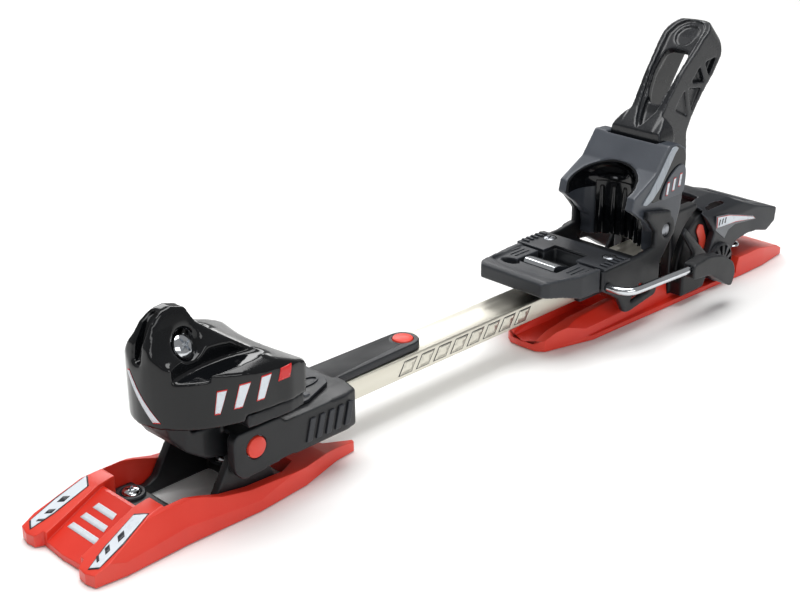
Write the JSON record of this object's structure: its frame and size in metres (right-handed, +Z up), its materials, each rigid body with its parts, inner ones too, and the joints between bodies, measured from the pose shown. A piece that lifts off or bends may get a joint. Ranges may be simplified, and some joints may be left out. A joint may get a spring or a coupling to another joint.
{
  "type": "touring ski binding",
  "caption": "Ski touring binding: release toe and lever heel on a beam that locks to the ski for descent and lifts at the heel for walking, with brake arms.",
  "frame": {"origin": "on the ski surface, midway between the two front ski screws, under the front pivot bracket", "axes": "+X from toe to heel along the ski, +Y to the skier's right, +Z up from the ski"},
  "size_m": [0.5895, 0.1088, 0.178],
  "materials": {
    "red_plastic": "satin moulded",
    "black_nylon": "fine matte grain",
    "gloss_shell": "high gloss",
    "grey_shell": "satin",
    "grey_panel": "satin",
    "silver_label": "printed film",
    "beam_metal": "anodised, fine brushed",
    "chrome_steel": "bright plated",
    "plain_steel": "satin"
  },
  "bodies": {
    "ski_base": {"front_base_cover": "red_plastic", "pivot_bracket": "black_nylon", "front_screw_1": "chrome_steel", "front_screw_2": "chrome_steel", "front_screw_3": "chrome_steel", "front_screw_4": "chrome_steel", "walk_axle": "plain_steel", "rear_base_cover": "red_plastic", "lock_housing": "black_nylon", "rear_screw_1": "chrome_steel", "rear_screw_2": "chrome_steel", "rear_screw_3": "chrome_steel", "rear_screw_4": "chrome_steel", "lock_axle": "plain_steel", "hook_pin": "plain_steel"},
    "frame": {"toe_carrier": "black_nylon", "pivot_bush_left": "plain_steel", "pivot_bush_right": "plain_steel", "pivot_cap_left": "red_plastic", "pivot_cap_right": "red_plastic", "gliding_plate": "black_nylon", "release_post": "plain_steel", "beam": "beam_metal", "beam_cover": "black_nylon", "cover_plug": "red_plastic", "beam_end_plug": "black_nylon", "catch_bracket": "plain_steel"},
    "toe_unit": {"toe_housing": "gloss_shell", "toe_jaw": "black_nylon", "housing_screw_left": "chrome_steel", "housing_screw_right": "chrome_steel", "toe_spring": "plain_steel", "toe_plunger": "plain_steel"},
    "toe_screw": {"toe_setting_screw": "chrome_steel"},
    "heel_carriage": {"heel_carrier": "black_nylon", "slider_plate": "black_nylon", "slider_screw_left": "plain_steel", "slider_screw_right": "plain_steel", "heel_pad": "black_nylon", "jaw_pin_left": "plain_steel", "jaw_pin_right": "plain_steel"},
    "heel_jaw": {"jaw_housing": "grey_shell", "jaw_cup": "gloss_shell", "jaw_side_panel_left": "grey_panel", "jaw_side_panel_right": "grey_panel", "lever_pin": "plain_steel", "heel_spring": "plain_steel"},
    "heel_lever": {"heel_lever": "black_nylon"},
    "heel_screw": {"heel_setting_screw": "chrome_steel"},
    "brake": {"brake_wire": "chrome_steel", "brake_pad_left": "black_nylon", "brake_pad_right": "black_nylon", "brake_pedal": "chrome_steel"},
    "lock_lever": {"lock_lever": "grey_panel", "lever_hub_left": "black_nylon", "lever_hub_right": "black_nylon", "lever_panel_left": "silver_label", "lever_panel_right": "silver_label"},
    "lock_hook": {"lock_hook": "red_plastic"}
  },
  "joints": [
    {"name": "walk_pivot", "type": "hinge", "parent": "ski_base", "child": "frame", "pos_m": [0.045, 0, 0.036], "axis": [0, -1, 0], "range_deg": [0, 38]},
    {"name": "toe_release", "type": "hinge", "parent": "frame", "child": "toe_unit", "pos_m": [0.026, 0, 0.06], "axis": [0, 0, 1], "range_deg": [-20, 20], "stiffness_Nm_per_rad": 20},
    {"name": "toe_screw_turn", "type": "hinge", "parent": "toe_unit", "child": "toe_screw", "pos_m": [0.0268, 0, 0.0994], "axis": [0.6, 0, 0.8], "continuous": true},
    {"name": "heel_slide", "type": "slide", "parent": "frame", "child": "heel_carriage", "axis": [1, 0, 0], "range_m": [-0.05, 0]},
    {"name": "heel_jaw_open", "type": "hinge", "parent": "heel_carriage", "child": "heel_jaw", "pos_m": [0.382, 0, 0.06], "axis": [0, 1, 0], "range_deg": [0, 30]},
    {"name": "heel_lever_press", "type": "hinge", "parent": "heel_jaw", "child": "heel_lever", "pos_m": [0.398, 0, 0.1085], "axis": [0, 1, 0], "range_deg": [0, 10]},
    {"name": "heel_screw_turn", "type": "hinge", "parent": "heel_jaw", "child": "heel_screw", "pos_m": [0.3945, 0, 0.095], "axis": [0, 0, 1], "continuous": true},
    {"name": "brake_swing", "type": "hinge", "parent": "heel_carriage", "child": "brake", "pos_m": [0.323, 0, 0.0386], "axis": [0, 1, 0], "range_deg": [0, 50]},
    {"name": "lock_lever_lift", "type": "hinge", "parent": "ski_base", "child": "lock_lever", "pos_m": [0.451, 0, 0.018], "axis": [0, -1, 0], "range_deg": [0, 55]},
    {"name": "lock_hook_release", "type": "hinge", "parent": "ski_base", "child": "lock_hook", "pos_m": [0.438, 0, 0.022], "axis": [0, 1, 0], "range_deg": [0, 20]}
  ],
  "couplings": [
    {"joint": "heel_lever_press", "follows": "heel_jaw_open", "ratio": 0.3333},
    {"joint": "lock_hook_release", "follows": "lock_lever_lift", "ratio": 0.3636}
  ]
}
